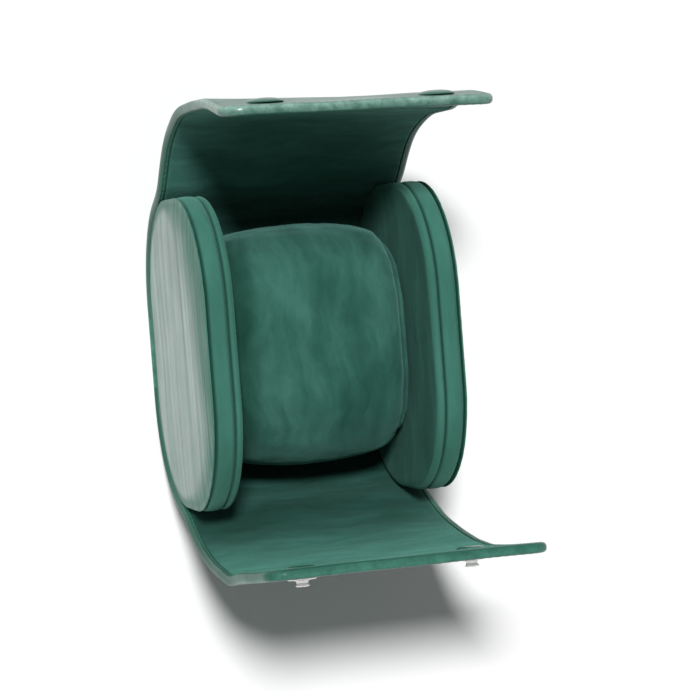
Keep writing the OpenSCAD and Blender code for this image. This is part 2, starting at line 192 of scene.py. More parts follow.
def sheet_skin(name, flap_name, start, end, ring):
    """A closed skin of the sheet: ring lists insets from the edge and depths, outside first."""
    line = LINES[flap_name]
    rows, tip = outline_rows(line, start, end)
    m = len(ring)
    verts, uvs, rubbed_and_highlit, dull = [], [], [], []

    def add(x, s, depth, inset):
        verts.append(on_sheet(flap_name, x, s, depth))
        uvs.append((x / 100.0, s / 100.0))
        # Edges are paler from rubbing and from painted highlight, most on the front past the third
        # crease.
        wear_and_highlight = rub_and_highlight(inset) * (0.2 + 0.8 * ease(s, line.creases[2] - 5, line.creases[2] + 20))
        rubbed_and_highlit.append(wear_and_highlight * (0.35 + 0.65 * depth / THICK))
        dull.append((1 - ease(inset, 0.3, 1.1)) * (flap_name == "bottom"))
        return len(verts) - 1

    loops = []
    for half, s, nx, ns in rows:
        right = [add(half - i * nx, s - i * ns, d, i) for i, d in ring]
        left = [add(-(half - i * nx), s - i * ns, d, i) for i, d in ring]
        spans = []
        for i, d in (ring[-1], ring[0]):
            x = half - i * nx
            spans.append([add(x - 2 * x * j / SPAN, s - i * ns, d, 9) for j in range(1, SPAN)])
        loops.append(right + spans[0] + left[::-1] + spans[1][::-1])
    n = len(loops[0])
    faces = []
    for a, b in zip(loops[:-1], loops[1:]):
        faces += [(a[i], a[(i + 1) % n], b[(i + 1) % n], b[i]) for i in range(n)]
    faces.append(tuple(reversed(loops[0])))
    if tip:
        half, s = rows[-1][:2]
        last = loops[-1]
        far = 2 * m + SPAN - 2          # where the left edge's outer side is in the loop
        grid = [[last[0]] + last[n - SPAN + 1:][::-1] + [last[far]]]
        for k, (i, d) in list(enumerate(ring))[1:-1]:
            inner = [add(half - 2 * half * j / SPAN, s - i, d, i) for j in range(1, SPAN)]
            grid.append([last[k]] + inner + [last[far - k]])
        grid.append([last[m - 1]] + last[m:m + SPAN - 1] + [last[m + SPAN - 1]])
        for p, q in zip(grid[:-1], grid[1:]):
            faces += [(p[j], p[j + 1], q[j + 1], q[j]) for j in range(SPAN)]
    else:
        faces.append(tuple(loops[-1]))
    piece = mesh_piece(name, verts, faces, uvs)
    paint(piece, "edge", rubbed_and_highlit)
    paint(piece, "matt", dull)
    return piece


def placed(name, data):
    item = bpy.data.objects.new(name, data)
    bpy.context.scene.collection.objects.link(item)
    return item


def mesh_piece(name, verts, faces, uvs=None):
    """A smooth mesh object at the origin, from millimetres, with its normals pointing out."""
    mesh = bpy.data.meshes.new(name)
    mesh.from_pydata([Vector(v) * 0.001 for v in verts], [], faces)
    if uvs is not None:
        layer = mesh.uv_layers.new(name="along")
        index = np.zeros(len(mesh.loops), np.int32)
        mesh.loops.foreach_get("vertex_index", index)
        layer.data.foreach_set("uv", np.array(uvs, np.float32)[index].ravel())
    piece = placed(name, mesh)
    mesh.shade_smooth()
    work = bmesh.new()
    work.from_mesh(mesh)
    bmesh.ops.recalc_face_normals(work, faces=work.faces)
    for face in work.faces:
        if len(face.verts) > 12:          # a flat cut end: its outline stays crisp
            for rim in face.edges:
                rim.smooth = False
    work.to_mesh(mesh)
    work.free()
    return piece


def worked_mesh(piece):
    """A new mesh of the piece with its modifiers worked in."""
    bpy.context.view_layer.update()
    graph = bpy.context.evaluated_depsgraph_get()
    return bpy.data.meshes.new_from_object(piece.evaluated_get(graph))


def cap(start, n):
    """One face over a ring of n vertices."""
    return tuple(range(start, start + n))


def band(a, b, n):
    """Faces between two rings of n vertices that start at a and b."""
    return [(a + i, a + (i + 1) % n, b + (i + 1) % n, b + i) for i in range(n)]


def rings(count, n, start=0):
    """Faces from each of a count of rings of n vertices to the next."""
    return [face for k in range(count - 1)
            for face in band(start + k * n, start + (k + 1) * n, n)]


def tube(count, n):
    """The same, closed at both ends."""
    return rings(count, n) + [cap(0, n)[::-1], cap((count - 1) * n, n)]


LINES = {name: SheetLine(flap) for name, flap in FLAPS.items()}
STRETCHES = {}
for flap_name, line in LINES.items():
    c1, c2, c3 = line.creases
    side, corner, front = (f"{flap_name}_{part}" for part in ("side", "corner", "front"))
    STRETCHES[flap_name] = [      # name, start, end, then both bodies, crease and its reach
        (side, 0.0, (c1 + c2) / 2, "case", side, c1, 7.0),
        (corner, (c1 + c2) / 2, (c2 + c3) / 2, side, corner, c2, 8.0),
        (front, (c2 + c3) / 2, line.length, corner, front, c3, 8.0)]


def bend_at_crease(piece, flap_name, near, far, crease, reach):
    """Works the piece's placing into its mesh. The ends of the stretch round its crease are found,
    but the piece is not bent.
    """
    line, side = LINES[flap_name], FLAPS[flap_name]["side"]
    ends = [line.place(crease - reach), line.place(crease + reach)]
    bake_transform(piece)


def node_group(name, place, number, default, outputs):
    """A shader group that takes a place and one number, and gives the named numbers."""
    group = bpy.data.node_groups.new(name, "ShaderNodeTree")
    socket = group.interface.new_socket
    socket(place, in_out="INPUT", socket_type="NodeSocketVector")
    socket(number, in_out="INPUT", socket_type="NodeSocketFloat").default_value = default
    for title in outputs:
        socket(title, in_out="OUTPUT", socket_type="NodeSocketFloat")
    return (group, group.nodes.new("NodeGroupInput").outputs,
            group.nodes.new("NodeGroupOutput").inputs)


def add_node(tree, kind, inputs=None, **settings):
    node = tree.nodes.new(kind)
    for key, value in settings.items():
        setattr(node, key, value)
    for key, value in (inputs or {}).items():
        if isinstance(value, bpy.types.NodeSocket):
            tree.links.new(value, node.inputs[key])
        else:
            node.inputs[key].default_value = value
    return node


def ramp(tree, value, stops):
    """Colour ramp with the given places and colours."""
    node = add_node(tree, "ShaderNodeValToRGB", {"Fac": value})
    elements = node.color_ramp.elements
    while len(elements) < len(stops):
        elements.new(0.5)
    for element, (place, colour) in zip(elements, stops):
        element.position = place
        element.color = (*colour, 1)
    return node.outputs["Color"]


def cloud(tree, place, scale, detail, rough=0.5):
    return add_node(tree, "ShaderNodeTexNoise", {"Vector": place, "Scale": scale, "Detail": detail,
                                                 "Roughness": rough}).outputs["Fac"]


def remap(tree, value, low, high, to_low=0.0, to_high=1.0, **settings):
    """A value taken from one range to another, and kept inside it."""
    return add_node(tree, "ShaderNodeMapRange",
                    {"Value": value, "From Min": low, "From Max": high, "To Min": to_low,
                     "To Max": to_high}, **settings).outputs[0]


def maths(tree, operation, *values):
    node = add_node(tree, "ShaderNodeMath", dict(enumerate(values)), operation=operation)
    return node.outputs[0]


def mix(tree, share, first, second, blend="MIX"):
    return add_node(tree, "ShaderNodeMix", {0: share, 6: first, 7: second},
                    data_type="RGBA", blend_type=blend).outputs[2]


def stretched(tree, place, scale, turn=(0.0, 0.0, 0.0)):
    return add_node(tree, "ShaderNodeMapping",
                    {"Vector": place, "Rotation": turn, "Scale": scale}).outputs[0]


def bump(tree, height, strength, distance, under=None):
    inputs = {"Height": height, "Strength": strength, "Distance": distance}
    if under is not None:
        inputs["Normal"] = under
    return add_node(tree, "ShaderNodeBump", inputs).outputs[0]


def painted(tree, name):
    return add_node(tree, "ShaderNodeAttribute", attribute_name=name).outputs["Fac"]


# Fine pebbled grain, used on every leather
GRAIN = 1500.0
grain_tree, g_in, g_out = node_group("Leather grain", "Vector", "Scale", GRAIN,
                                     ["Height", "Pores"])
cells = add_node(grain_tree, "ShaderNodeTexVoronoi",
                 {"Vector": g_in["Vector"], "Scale": g_in["Scale"], "Randomness": 0.9},
                 feature="SMOOTH_F1").outputs["Distance"]
pebbled = maths(grain_tree, "ADD", cloud(grain_tree, g_in["Vector"], 420.0, 6.0, 0.6),
                maths(grain_tree, "MULTIPLY", cells, 0.55))
grain_tree.links.new(pebbled, g_out["Height"])
grain_tree.links.new(remap(grain_tree, cells, 0.1, 0.75), g_out["Pores"])


def new_material(name):
    """A material, its tree and its shader's inputs."""
    material = bpy.data.materials.new(name)
    material.use_nodes = True
    tree = material.node_tree
    return material, tree, tree.nodes["Principled BSDF"].inputs


def on_object(tree):
    return add_node(tree, "ShaderNodeTexCoord").outputs["Object"]


def painted_shade(tree, colour):
    """Painted deep shade where the 'seam' attribute marks it: where two skins meet in a seam, and
    at the pillow's left end.
    """
    return mix(tree, painted(tree, "seam"), colour, (0.25, 0.42, 0.36, 1), "MULTIPLY")


def leather_material(name, deep, plain, wear_and_highlight, rough, streak=0.0, coat=0.08):
    """Smooth finished leather: fine grain, cloudy colour, paler along an edge from rubbing and a
    painted highlight.
    """
    material, tree, shader = new_material(name)
    place = on_object(tree)
    grain = add_node(tree, "ShaderNodeGroup", {"Vector": place, "Scale": GRAIN},
                     node_tree=grain_tree).outputs
    edge, matt = painted(tree, "edge"), painted(tree, "matt")
    colour = ramp(tree, cloud(tree, place, 38.0, 4.0, 0.62), [(0.3, deep), (0.7, plain)])
    # Pale edge colour: partly rubbing, partly painted highlight.
    frayed_and_highlit = maths(tree, "MULTIPLY", edge, cloud(tree, place, 260.0, 5.0, 0.7))
    colour = mix(tree, remap(tree, frayed_and_highlit, 0.18, 0.62), colour, (*wear_and_highlight, 1))
    pore = mix(tree, grain["Pores"], (0.86, 0.86, 0.86, 1), (1, 1, 1, 1))
    colour = mix(tree, 1.0, colour, pore, "MULTIPLY")
    if streak:
        colour = mix(tree, remap(tree, matt, 0.0, 1.0, 0.0, 0.8), colour, (0.060, 0.195, 0.148, 1))
    tree.links.new(painted_shade(tree, colour), shader["Base Color"])
    gloss = remap(tree, cloud(tree, place, 55.0, 3.0), 0.3, 0.7, rough - 0.05, rough + 0.08)
    tree.links.new(maths(tree, "MULTIPLY_ADD", edge, -0.12, gloss), shader["Roughness"])
    relief = bump(tree, grain["Height"], 0.16, 0.0004)
    shader["Coat Weight"].default_value = coat
    if streak:
        bands = stretched(tree, place, (10.0, 5.0, 85.0), (0.07, 0.0, 0.0))
        relief = bump(tree, cloud(tree, bands, 1.0, 4.0, 0.6), 1.0, streak, relief)
        wiped = stretched(tree, place, (10.0, 3.0, 120.0), (0.05, 0.0, 0.0))
        waxed = remap(tree, cloud(tree, wiped, 1.0, 5.0, 0.65), 0.36, 0.6, coat * 0.25, coat)
        waxed = maths(tree, "MULTIPLY", waxed, remap(tree, matt, 0.0, 1.0, 1.0, 0.0))
        tree.links.new(waxed, shader["Coat Weight"])
    tree.links.new(remap(tree, matt, 0.0, 1.0, 0.5, 0.1), shader["Specular IOR Level"])
    tree.links.new(relief, shader["Normal"])
    shader["IOR"].default_value = 1.5
    shader["Coat Roughness"].default_value = 0.3
    return material


# The same leather with a much paler edge colour: painted highlight on the top flap's tip edge,
# which faces the light.
highlit_leather = leather_material("Green leather rubbed pale", (0.022, 0.105, 0.072),
                                  (0.032, 0.150, 0.104), (0.34, 0.58, 0.48), 0.36)
green_leather = leather_material("Green leather", (0.020, 0.098, 0.066),
                                 (0.030, 0.142, 0.098), (0.085, 0.285, 0.215), 0.42)

SNAP_X = 27.0                               # the snaps, from the middle of the sheet
SNAP_UP = {"top": 33.0, "bottom": 35.8995}  # and from the third crease
HOLE_R, HOLE_DEPTH, HOLE_STEPS = 4.45, 1.9, 40


def snap_ring(flap_name, x, radius, height, steps):
    """Ring round the axis of a snap, at a height above the drawn lined face."""
    flap = FLAPS[flap_name]
    up = lean_dir(flap["front_lean"])
    y, z = np.array(flap["fold_3"]) + SNAP_UP[flap_name] * up
    ring = []
    for k in range(steps):
        a = 2 * pi * k / steps
        t = radius * sin(a)
        ring.append((x + radius * cos(a), (y + t * up[0] - height * up[1]) * flap["side"],
                     z + t * up[1] + height * up[0]))
    return ring


def snap_shift(flap_name, x):
    """How far the soft sheet lies out of its drawn line at a snap."""
    return relax(flap_name, x, LINES[flap_name].creases[2] + SNAP_UP[flap_name])


def punch(piece):
    """Round holes for the sockets of the top flap, sunk from the lined face."""
    verts, faces = [], []
    for x in (-SNAP_X, SNAP_X):
        first = len(verts)
        for depth in (-2.0, HOLE_DEPTH + snap_shift("top", x)):
            verts += snap_ring("top", x, HOLE_R, -depth, HOLE_STEPS)
        faces += band(first, first + HOLE_STEPS, HOLE_STEPS)
        faces += [cap(first, HOLE_STEPS), cap(first + HOLE_STEPS, HOLE_STEPS)[::-1]]
    cutter = mesh_piece("punch", verts, faces)
    cut = piece.modifiers.new("Holes", "BOOLEAN")
    cut.operation, cut.solver, cut.object = "DIFFERENCE", "EXACT", cutter
    holed = worked_mesh(piece)
    piece.modifiers.clear()
    piece.data = holed
    bpy.data.objects.remove(cutter)


def lay_on_flaps(layer, made, ring, finish):
    """One layer of both flaps: a piece for each stretch."""
    for flap_name, stretches in STRETCHES.items():
        for stretch, start, end, *bend in stretches:
            node = f"{stretch}_{layer}"
            piece = sheet_skin(f"{node}_{made}", flap_name, start, end, ring)
            piece.data.materials.append(finish(stretch))
            if stretch == "top_front":
                punch(piece)
            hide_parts(node)
            bend_at_crease(piece, flap_name, *bend)


def cut_across(ring):
    """The ring at both edges of the sheet: places across and depths."""
    return [(HALF - i, d) for i, d in ring] + [(i - HALF, d) for i, d in ring[::-1]]


BACK_ROWS = np.linspace(-BACK_CUT, BACK_CUT, 13)


def flat_middle(name, node, ring, finish):
    """The flat back between the two flaps, on which the case lies."""
    across = cut_across(ring)
    piece = mesh_piece(name, [(x, y, THICK - d) for y in BACK_ROWS for x, d in across],
                       tube(len(BACK_ROWS), len(across)),
                       [(x / 100, y / 100) for y in BACK_ROWS for x, d in across])
    piece.data.materials.append(finish)
    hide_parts(node)
    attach(piece, "case")
    return piece


LEATHER_RING = [(4.5, 3.2), (2.4, 3.2), (1.9, 3.14), (1.5, 3.18), (1.0, 3.12), (0.55, 2.92),
                (0.2, 2.55), (0.03, 2.1), (0.0, 1.6), (0.03, 1.1), (0.2, 0.62), (0.5, 0.26),
                (0.85, 0.06), (1.2, -0.02), (1.6, 0.06), (1.9, 0.06), (2.2, -0.02), (2.45, 0.06),
                (2.6, 0.3), (2.66, 0.66)]
# The top flap's front takes the leather with the painted highlight on its edges.
lay_on_flaps("leather", "sewn", LEATHER_RING,
             lambda stretch: highlit_leather if stretch == "top_front" else green_leather)
back = flat_middle("back_leather_sewn", "back_leather", LEATHER_RING,
                   green_leather)
back_wear_and_highlight = [rub_and_highlight(HALF - abs(x)) for x, d in cut_across(LEATHER_RING)] * len(BACK_ROWS)
paint(back, "edge", back_wear_and_highlight)
paint(back, "matt", back_wear_and_highlight)

# ---- Suede lining of the sheet ----
# A brushed microfibre is glued over the boards inside the turned edges, cut to the
# seam, so that its nap runs along the roll and shows the strokes of a hand.
fibre_tree, f_in, f_out = node_group("Short nap", "Along", "Stroke scale", 9.0,
                                     ["Stroke", "Height", "Speck"])
bent = add_node(fibre_tree, "ShaderNodeTexNoise",
                {"Vector": f_in["Along"], "Scale": 5.0, "Detail": 3.0}).outputs["Color"]
pulled = add_node(fibre_tree, "ShaderNodeVectorMath", {0: bent, 1: (0.12, 0.12, 0.12)},
                  operation="MULTIPLY").outputs[0]
shifted = add_node(fibre_tree, "ShaderNodeVectorMath", {0: f_in["Along"], 1: pulled},
                   operation="ADD").outputs[0]
strokes = cloud(fibre_tree, stretched(fibre_tree, shifted, (0.42, 1.6, 1.0)),
                f_in["Stroke scale"], 4.0, 0.55)
fuzz = cloud(fibre_tree, stretched(fibre_tree, f_in["Along"], (150.0, 460.0, 300.0)),
             1.0, 5.0, 0.7)
fibre_tree.links.new(strokes, f_out["Stroke"])
fibre_tree.links.new(fuzz, f_out["Height"])
fibre_tree.links.new(cloud(fibre_tree, f_in["Along"], 340.0, 3.0, 0.8), f_out["Speck"])


def napped_material(name, shades, stroke, sheen, tint=(0.4, 0.9, 0.75), depth=0.00035,
                    painted_light_and_shade=None):
    """Brushed pile: strokes of three shades of nap, fine fibres and a soft sheen, with painted
    light and shade along the sheet where given.
    """
    material, tree, shader = new_material(name)
    place = add_node(tree, "ShaderNodeUVMap", uv_map="along").outputs["UV"]
    nap = add_node(tree, "ShaderNodeGroup", {"Along": place, "Stroke scale": stroke},
                   node_tree=fibre_tree).outputs
    colour = ramp(tree, nap["Stroke"], list(zip((0.30, 0.5, 0.70), shades)))
    colour = mix(tree, 1.0, colour, remap(tree, nap["Speck"], 0.3, 0.7, 0.8, 1.18), "MULTIPLY")
    # Painted light and shade: the colour darkens or brightens along the sheet.
    if painted_light_and_shade:
        along = add_node(tree, "ShaderNodeSeparateXYZ", {"Vector": place}).outputs["Y"]
        gain = remap(tree, along, *painted_light_and_shade, interpolation_type="SMOOTHSTEP")
        colour = mix(tree, 1.0, colour, gain, "MULTIPLY")
    tree.links.new(painted_shade(tree, colour), shader["Base Color"])
    relief = bump(tree, nap["Height"], 0.45, depth)
    tree.links.new(bump(tree, nap["Stroke"], 0.35, 0.0012, relief), shader["Normal"])
    shader["Roughness"].default_value = 0.95
    shader["Specular IOR Level"].default_value = 0.15
    shader["Sheen Weight"].default_value = sheen
    shader["Sheen Roughness"].default_value = 0.45
    shader["Sheen Tint"].default_value = (*tint, 1)
    return material


# Lining of the bottom flap and the back: painted shade, darker deep in the case by the pillow and a
# little brighter out on the flap.
suede = napped_material(
    "Suede lining", ((0.013, 0.100, 0.070), (0.025, 0.152, 0.112), (0.050, 0.235, 0.185)),
    6.5, 0.2, painted_light_and_shade=(0.6, 1.3, 0.36, 1.15))
# A darker copy of the suede for the top flap's lining: painted shade under the flap, growing
# lighter towards its tip as painted light on the front.
suede_shade = napped_material(
    "Suede in painted shade", ((0.027, 0.105, 0.078), (0.043, 0.148, 0.118), (0.066, 0.205, 0.165)),
    9.0, 0.15, painted_light_and_shade=(1.25, 1.45, 1.0, 2.1))
LINING_RING = [(5.0, 0.74), (2.74, 0.74), (2.72, 0.45), (2.8, 0.2), (3.05, 0.04), (3.5, -0.03),
               (4.4, -0.03)]
# The top flap's lining takes the painted-shade copy of the suede.
lay_on_flaps("lining", "napped", LINING_RING,
             lambda stretch: suede_shade if stretch.startswith("top") else suede)
flat_middle("back_lining_napped", "back_lining", LINING_RING, suede)

# ---- Seam of the turned edge ----
# A lockstitch in thread of the leather's own colour holds the turned edge down, seen on both faces.
# Each stretch of the sheet carries its own run.
STITCH, THREAD_R = 2.6, 0.17
SEAM_IN = 1.75                    # the seam, from the edge of the sheet
SEAM_FROM = 24.0                  # where it starts along the sheet
SEAM_FACES = ((0.08, -1), (3.08, 1))     # depth of the thread on each face, and its way out


def stitch_tree():
    """Beads of thread laid end to end along a line, each turned to face its 'up'."""
    tree = bpy.data.node_groups.new("Lockstitch", "GeometryNodeTree")
    ids = {}
    for title, kind, value in (("Geometry", "Geometry", None), ("Stitch length", "Float", 0.0026),
                               ("Thread radius", "Float", 0.0002), ("Thread", "Material", None)):
        socket = tree.interface.new_socket(title, in_out="INPUT", socket_type="NodeSocket" + kind)
        if value is not None:
            socket.default_value = value
        ids[title] = socket.identifier
    tree.interface.new_socket("Geometry", in_out="OUTPUT", socket_type="NodeSocketGeometry")
    given, out = tree.nodes.new("NodeGroupInput").outputs, tree.nodes.new("NodeGroupOutput")
    path = add_node(tree, "GeometryNodeMeshToCurve", {"Mesh": given["Geometry"]})
    even = add_node(tree, "GeometryNodeResampleCurve",
                    {"Curve": path.outputs[0], "Length": given["Stitch length"]}, mode="LENGTH")
    bead = add_node(tree, "GeometryNodeMeshUVSphere", {"Segments": 8, "Rings": 6, "Radius": 1.0})
    shape = add_node(tree, "ShaderNodeCombineXYZ",
                     {"X": maths(tree, "MULTIPLY", given["Stitch length"], 0.44),
                      "Y": maths(tree, "MULTIPLY", given["Thread radius"], 1.15),
                      "Z": given["Thread radius"]})
    thread = add_node(tree, "GeometryNodeTransform",
                      {"Geometry": bead.outputs["Mesh"], "Scale": shape.outputs[0]})
    tangent = tree.nodes.new("GeometryNodeInputTangent")
    up = add_node(tree, "GeometryNodeInputNamedAttribute", {"Name": "up"},
                  data_type="FLOAT_VECTOR")
    turn = add_node(tree, "FunctionNodeAlignRotationToVector", {"Vector": tangent.outputs[0]},
                    axis="X")
    turn = add_node(tree, "FunctionNodeAlignRotationToVector",
                    {"Rotation": turn.outputs[0], "Vector": up.outputs["Attribute"]},
                    axis="Z", pivot_axis="X")
    sewn = add_node(tree, "GeometryNodeInstanceOnPoints",
                    {"Points": even.outputs[0], "Instance": thread.outputs[0],
                     "Rotation": turn.outputs[0]})
    real = add_node(tree, "GeometryNodeRealizeInstances", {"Geometry": sewn.outputs[0]})
    dressed = add_node(tree, "GeometryNodeSetMaterial",
                       {"Geometry": real.outputs[0], "Material": given["Thread"]})
    tree.links.new(dressed.outputs[0], out.inputs[0])
    return tree, ids


def sew(name, runs):
    """Runs of stitches along lines of points, each point with the direction it faces."""
    verts, edges, ups = [], [], []
    for run in runs:
        first = len(verts)
        verts += [Vector(point) * 0.001 for point, up in run]
        ups += [up for point, up in run]
        edges += [(i, i + 1) for i in range(first, len(verts) - 1)]
    mesh = bpy.data.meshes.new(name + "_path")
    mesh.from_pydata(verts, edges, [])
    facing = mesh.attributes.new("up", "FLOAT_VECTOR", "POINT")
    facing.data.foreach_set("vector", np.array(ups, np.float32).ravel())
    path = placed(name + "_path", mesh)
    modifier = path.modifiers.new("Lockstitch", "NODES")
    modifier.node_group = lockstitch
    modifier[stitch_ids["Stitch length"]] = STITCH * 0.001
    modifier[stitch_ids["Thread radius"]] = THREAD_R * 0.001
    modifier[stitch_ids["Thread"]] = thread_green
    made = worked_mesh(path)
    bpy.data.objects.remove(path)
    made.name = name
    piece = placed(name, made)
    made.shade_smooth()
    return piece


def raised_finish(name, texture, output, inputs, stops, strength, distance, rough=None):
    """A finish whose one texture gives its colour and its relief."""
    material, tree, shader = new_material(name)
    value = add_node(tree, texture, {"Vector": on_object(tree), **inputs}).outputs[output]
    tree.links.new(ramp(tree, value, stops), shader["Base Color"])
    tree.links.new(bump(tree, value, strength, distance), shader["Normal"])
    if rough is not None:
        shader["Roughness"].default_value = rough
    return material, tree, shader, value


lockstitch, stitch_ids = stitch_tree()
thread_green = raised_finish("Sewing thread", "ShaderNodeTexNoise", "Fac",
                             {"Scale": 2600.0, "Detail": 2.0},
                             [(0.35, (0.030, 0.13, 0.09)), (0.65, (0.065, 0.22, 0.165))],
                             0.4, 0.0001, 0.6)[0]
for flap_name, line in LINES.items():
    def thread_point(x, s, depth, way):
        n = line.facing(s) * way
        return on_sheet(flap_name, x, s, depth), (0, n[0] * FLAPS[flap_name]["side"], n[1])

    for stretch, start, end, *bend in STRETCHES[flap_name]:
        rows, tip = outline_rows(line, start + (SEAM_FROM if stretch.endswith("side") else 0), end)
        runs = []
        for face in SEAM_FACES:
            seam = [(half - SEAM_IN * nx, s - SEAM_IN * ns) for half, s, nx, ns in rows]
            right = [thread_point(x, s, *face) for x, s in seam]
            left = [thread_point(-x, s, *face) for x, s in seam]
            if tip:
                half, s = rows[-1][:2]
                middle = [thread_point(x, s - SEAM_IN, *face)
                          for x in np.linspace(half, -half, SPAN)[1:-1]]
                runs.append(right + middle + left[::-1])
            else:
                runs += [right, left]
        piece = sew(stretch + "_stitches", runs)
        bend_at_crease(piece, flap_name, *bend)

# ---- End panels ----
# Each end is a board padded with foam: an outer leather face turned into a seam, a strip
# round the rim, and a suede inner face, sewn to each other with their edges inside.
PANEL_H, PANEL_D, PANEL_R, PANEL_Z = 103.0, 88.0, 36.0, 3.4
PANEL_MID = PANEL_Z + PANEL_D / 2
CORNER_N, STRAIGHT_N = 40, 14
QUARTERS = ((1, 1), (-1, 1), (-1, -1), (1, -1))
ENDS = ((-1, "left"), (1, "right"))
SEAMS = (1.83, 8.05)          # from the outer face to the seams at both sides of the rim
LINING_FROM = 10.7            # from the outer face to where the inner face's darker suede, painted shade, begins


def panel_loop(inset):
    """Rounded square round an end panel; past an inset of 15 mm it shrinks to the middle."""
    true = min(inset, 15.0)
    hy, hz, r = PANEL_H / 2 - true, PANEL_D / 2 - true, PANEL_R - true
    points = []
    for quarter, (sy, sz) in enumerate(QUARTERS):
        cy, cz = sy * (hy - r), sz * (hz - r)
        for i in range(CORNER_N):
            a = pi / 2 * quarter + pi / 2 * i / CORNER_N
            points.append((cy + r * cos(a), cz + r * sin(a)))
        a = pi / 2 * quarter + pi / 2
        ny, nz = QUARTERS[(quarter + 1) % 4]
        start = (cy + r * cos(a), cz + r * sin(a))
        end = (ny * (hy - r) + r * cos(a), nz * (hz - r) + r * sin(a))
        points += [(start[0] + (end[0] - start[0]) * i / STRAIGHT_N,
                    start[1] + (end[1] - start[1]) * i / STRAIGHT_N) for i in range(STRAIGHT_N)]
    shrink = 1.0 if inset <= 15 else max(0.0, 1 - (inset - 15) / 29.0)
    return [(y * shrink, z * shrink) for y, z in points]


def fan(start, n, middle):
    """Faces from a ring of n vertices to one in its middle."""
    return [(start + i, start + (i + 1) % n, middle) for i in range(n)]


def panel_skin(name, side, profile, soft, edge_at, hoop=False):
    """Skin of an end panel through rings of (distance from the outer face, inset)."""
    verts, uvs, edge, matt, seam = [], [], [], [], []
    for x, inset in profile:
        to_edge = min(abs(x - e) for e in edge_at)
        to_seam = min(abs(x - e) for e in SEAMS)
        for k, (y, z) in enumerate(panel_loop(inset)):
            verts.append((side * (HALF - (x + soft(y, z, inset))), y, z + PANEL_MID))
            uvs.append((k * 0.0165, x / 100) if hoop or inset <= 1 else (y / 100, z / 100))
            # Pale colour on the padded face's rounded outer edge: partly rubbing, partly painted
            # highlight.
            edge.append(max(0.0, 1 - to_edge / 0.7) if inset < 1.6 else 0.0)
            # Painted shade in the seam grooves between the skins.
            seam.append(1 - ease(to_seam, 0.2, 0.85) if inset < 2.1 else 0.0)
            bare = 5.0 + (10 + 18 * ease(y, -35, 25)) * ease(z, -8, 26)
            matt.append(max(1 - ease(inset, 2.0, bare), 0.2 * ease(-y, 5, 45)))
    n, last = len(panel_loop(0)), len(profile) - 1
    faces = rings(len(profile), n)
    if hoop:
        faces += band(last * n, 0, n)
    else:
        faces.append(cap(0, n))
        faces += fan(last * n, n, len(verts))
        verts.append((side * (HALF - profile[-1][0] - soft(0, 0, 44)), 0, PANEL_MID))
        uvs.append((0, 0))
        for values in (edge, matt, seam):
            values.append(0.0)
    piece = mesh_piece(name, verts, faces, uvs)
    paint(piece, "edge", edge)
    paint(piece, "matt", matt)
    paint(piece, "seam", seam)
    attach(piece, "case")
    return piece


face_leather = leather_material("Panel leather", (0.030, 0.120, 0.085), (0.045, 0.165, 0.125),
                                (0.13, 0.33, 0.26), 0.38, streak=0.0022, coat=0.85)
rim_suede = napped_material(
    "Rim microfibre", ((0.040, 0.155, 0.112), (0.052, 0.188, 0.142), (0.070, 0.235, 0.182)),
    5.0, 0.25)
# A darker copy of the suede for the inner faces: painted shade where they face the pillow.
panel_suede_shaded = napped_material(
    "Inner face suede", ((0.018, 0.082, 0.058), (0.030, 0.120, 0.088), (0.046, 0.165, 0.125)),
    9.0, 0.15)
OUTER = [(1.84, 2.0), (1.83, 1.5), (1.79, 1.25), (1.68, 1.0), (1.56, 0.6), (1.44, 0.28),
         (1.28, 0.08), (1.12, 0.02), (0.98, 0.08), (0.86, 0.25)]
OUTER += [(0.1 + 0.78 * (1 - e / 11.0) ** 1.9, e)
          for e in (0.5, 0.9, 1.4, 2, 3, 4, 5, 6, 7, 8.2, 9.5, 11)]
OUTER += [(0.1, e) for e in (13.5, 16, 19, 23, 28, 33, 38, 41)]
RIM = [(1.81, 2.0), (1.82, 1.5), (1.88, 1.25), (2.02, 1.0), (2.22, 0.66), (2.48, 0.34), (2.8, 0.1),
       (3.1, -0.02), (3.6, -0.10), (4.4, -0.16), (5.3, -0.16), (6.2, -0.11), (6.8, -0.04),
       (7.15, 0.05), (7.46, 0.28), (7.70, 0.6), (7.88, 1.0), (8.02, 1.25), (8.07, 1.5), (8.08, 2.0)]
INNER = [(8.04, 2.0), (8.05, 1.5), (8.09, 1.25), (8.2, 1.0), (8.38, 0.6), (8.6, 0.28), (8.86, 0.06),
         (9.25, 0.0), (9.7, 0.1), (10.15, 0.38), (10.52, 0.8), (10.8, 1.4), (11.0, 2.2)]
INNER += [(11.02, e) for e in (3, 4, 6, 8, 11, 15, 20, 26, 32, 38)]
